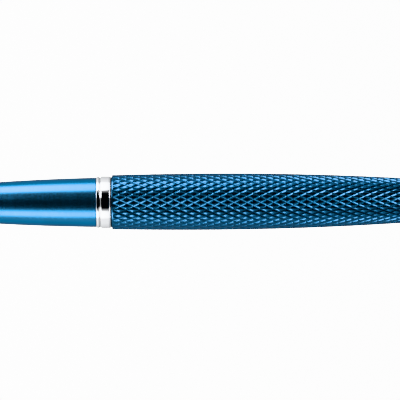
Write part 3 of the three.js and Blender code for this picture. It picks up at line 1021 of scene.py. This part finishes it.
def make_clip():
    low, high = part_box("clip")
    flex = next(j for j in frame["record"]["behaviour"]["joints"] if j["name"] == "clip_flex")
    opening = Vector(flex["axis"])
    outwards = opening.cross(Vector((1, 0, 0)))
    stations = clip_stations()
    ring = 32
    points, rings = [], []
    for i, (along, away, width, thick, square) in enumerate(stations):
        before, after = stations[max(i - 1, 0)], stations[min(i + 1, len(stations) - 1)]
        slope = math.atan2(after[1] - before[1], after[0] - before[0])
        rings.append(range(len(points), len(points) + ring))
        for k in range(ring):
            turn = 2 * math.pi * k / ring
            c, s = math.cos(turn), math.sin(turn)
            across = width / 2 * math.copysign(abs(c) ** square, c)
            up = thick / 2 * math.copysign(abs(s) ** square, s)
            x = along - up * math.sin(slope)
            out = away + up * math.cos(slope)
            points.append(tuple(Vector((x, 0, 0)) + outwards * out + opening * across))
    faces = [
        (a[k], a[(k + 1) % ring], b[(k + 1) % ring], b[k])
        for a, b in zip(rings, rings[1:])
        for k in range(ring)
    ]
    faces.append(tuple(reversed(rings[0])))
    faces.append(tuple(rings[-1]))
    mesh = mesh_from("clip", points, faces)
    add_piece("clip_arm", mesh, CAP, "clip", ["clip"], CHROME, 60)


# ---- stage, light and camera --------------------------------------------------------------

VIEW_WIDTH = 88              # millimetres across the picture, at the height of the pen's axis
VIEW_CENTRE = (19.36, 0.38)  # along the pen and across it
VIEW_ROLL = 0.355            # degrees
LENS = 400
WALL = 1.1                   # radiance of the walls, of the ground, of what is overhead
GROUND = 0.73
OVERHEAD = 0.01
UPPER_SOFTBOX = 16.4         # radiance of the softboxes beside the pen
LOWER_SOFTBOX = 13.6
UPPER_FRONT = 14             # radiance of the softboxes further ahead, towards the tip
LOWER_FRONT = 6
FRONT_FILL = 1.0             # radiance from straight ahead of the tip


def make_floor():
    """A pale floor that glows by its own emission, with painted light: the glow is made brighter
    towards the tip's side, as if the studio's light fell there more strongly.
    """
    material = bpy.data.materials.new("floor")
    material.use_nodes = True
    tree = material.node_tree
    shader = tree.nodes["Principled BSDF"]
    shader.inputs["Base Color"].default_value = (0.05, 0.05, 0.05, 1)
    shader.inputs["Roughness"].default_value = 0.8
    shader.inputs["Emission Color"].default_value = (1, 1, 1, 1)
    place = tree.nodes.new("ShaderNodeTexCoord")
    split = tree.nodes.new("ShaderNodeSeparateXYZ")
    tree.links.new(place.outputs["Object"], split.inputs["Vector"])
    # painted light: the floor's glow falls from 4.2 on the tip's side to 3.4 further along, in place of
    # the studio light falling off along the pen
    glow = ranged(tree, split.outputs["X"], (-0.02, 0.10), (4.2, 3.4))
    tree.links.new(glow, shader.inputs["Emission Strength"])
    bpy.ops.mesh.primitive_plane_add(size=8, location=(0, 0, -0.00005))
    floor = bpy.context.object
    floor.name = "floor"
    floor.data.materials.append(material)
    floor.visible_glossy = False
    floor.visible_diffuse = False


def ranged(tree, value, source, target):
    """A smooth step from one range to another."""
    step = tree.nodes.new("ShaderNodeMapRange")
    step.interpolation_type = "SMOOTHSTEP"
    step.inputs["From Min"].default_value, step.inputs["From Max"].default_value = source
    step.inputs["To Min"].default_value, step.inputs["To Max"].default_value = target
    tree.links.new(value, step.inputs["Value"])
    return step.outputs["Result"]


def math_node(tree, operation, one, two):
    """A sum, product or other step of two values, the second a node's output or a number."""
    node = tree.nodes.new("ShaderNodeMath")
    node.operation = operation
    tree.links.new(one, node.inputs[0])
    if isinstance(two, (int, float)):
        node.inputs[1].default_value = two
    else:
        tree.links.new(two, node.inputs[1])
    return node.outputs["Value"]


def window(tree, value, rise, fall):
    """One between two values and nothing outside them, with soft edges."""
    up = ranged(tree, value, rise, (0, 1))
    down = ranged(tree, value, fall, (1, 0))
    return math_node(tree, "MULTIPLY", up, down)


def softbox(tree, angle, along, radiance):
    """Light between two angles from straight up, dimmed along the pen by another value."""
    edges = [[math.radians(a) for a in edge] for edge in angle[1:]]
    light = math_node(tree, "MULTIPLY", window(tree, angle[0], *edges), along)
    return math_node(tree, "MULTIPLY", light, radiance)


def make_studio():
    """Pale walls along both sides of the pen with softboxes in them, dark overhead, and
    dimmer past the barrel's end."""
    world = bpy.data.worlds.new("studio")
    bpy.context.scene.world = world
    world.use_nodes = True
    tree = world.node_tree
    background = tree.nodes["Background"]
    background.inputs["Color"].default_value = (1, 1, 1, 1)
    place = tree.nodes.new("ShaderNodeTexCoord")
    split = tree.nodes.new("ShaderNodeSeparateXYZ")
    tree.links.new(place.outputs["Generated"], split.inputs["Vector"])
    along = split.outputs["X"]
    upper = math_node(tree, "ARCTAN2", split.outputs["Y"], split.outputs["Z"])
    lower = math_node(tree, "MULTIPLY", upper, -1.0)
    walls = ranged(tree, along, (-0.10, 0.30), (1, 0.5))
    boxes = window(tree, along, (-0.26, -0.16), (-0.12, 0.03))
    ahead = window(tree, along, (-0.70, -0.55), (-0.44, -0.27))
    light = softbox(tree, (upper, (38, 70), (87, 160)), walls, WALL)
    for more in (
        softbox(tree, (lower, (24, 45), (87, 160)), walls, WALL),
        softbox(tree, (upper, (53, 63), (84, 104)), boxes, UPPER_SOFTBOX),
        softbox(tree, (lower, (38, 52), (64, 78)), boxes, LOWER_SOFTBOX),
        softbox(tree, (upper, (18, 30), (48, 60)), ahead, UPPER_FRONT),
        softbox(tree, (lower, (18, 30), (44, 56)), ahead, LOWER_FRONT),
        softbox(tree, (upper, (87, 160), (200, 210)), walls, GROUND),
        softbox(tree, (lower, (87, 160), (200, 210)), walls, GROUND),
    ):
        light = math_node(tree, "ADD", light, more)
    front = math_node(tree, "MULTIPLY", ranged(tree, along, (-0.85, -0.55), (1, 0)), FRONT_FILL)
    light = math_node(tree, "ADD", light, front)
    light = math_node(tree, "ADD", light, OVERHEAD)
    tree.links.new(light, background.inputs["Strength"])


def make_camera():
    data = bpy.data.cameras.new("camera")
    data.lens = LENS
    data.sensor_width = 36
    distance = VIEW_WIDTH * MM / 2 / (data.sensor_width / 2 / LENS)
    camera = bpy.data.objects.new("camera", data)
    bpy.context.scene.collection.objects.link(camera)
    x = PEN.x + VIEW_CENTRE[0] * MM
    camera.location = (x, VIEW_CENTRE[1] * MM, AXIS_HEIGHT + distance)
    camera.rotation_euler = (0, 0, -math.radians(VIEW_ROLL))
    data.clip_start, data.clip_end = 0.01, 20
    bpy.context.scene.camera = camera


# ---- the whole pen ------------------------------------------------------------------------

for make in (
    make_grip,
    make_nose_collar,
    make_coupling,
    make_bead_ring,
    make_centre_band,
    make_washer,
    make_barrel_sleeve,
    make_bush,
    make_liner,
    make_end_plug,
    make_spring_cup,
    make_spring,
    make_refill_tube,
    make_refill_nose,
    make_refill_tip,
    make_writing_ball,
    make_refill_plug,
    make_ink_rods,
    make_cap_shell,
    make_lip_ring,
    make_clutch_ring,
    make_inner_cap,
    make_clip_ring,
    make_finial,
    make_finial_screw,
    make_clip,
    make_floor,
    make_studio,
    make_camera,
):
    make()

bpy.context.scene.view_settings.view_transform = "Khronos PBR Neutral"
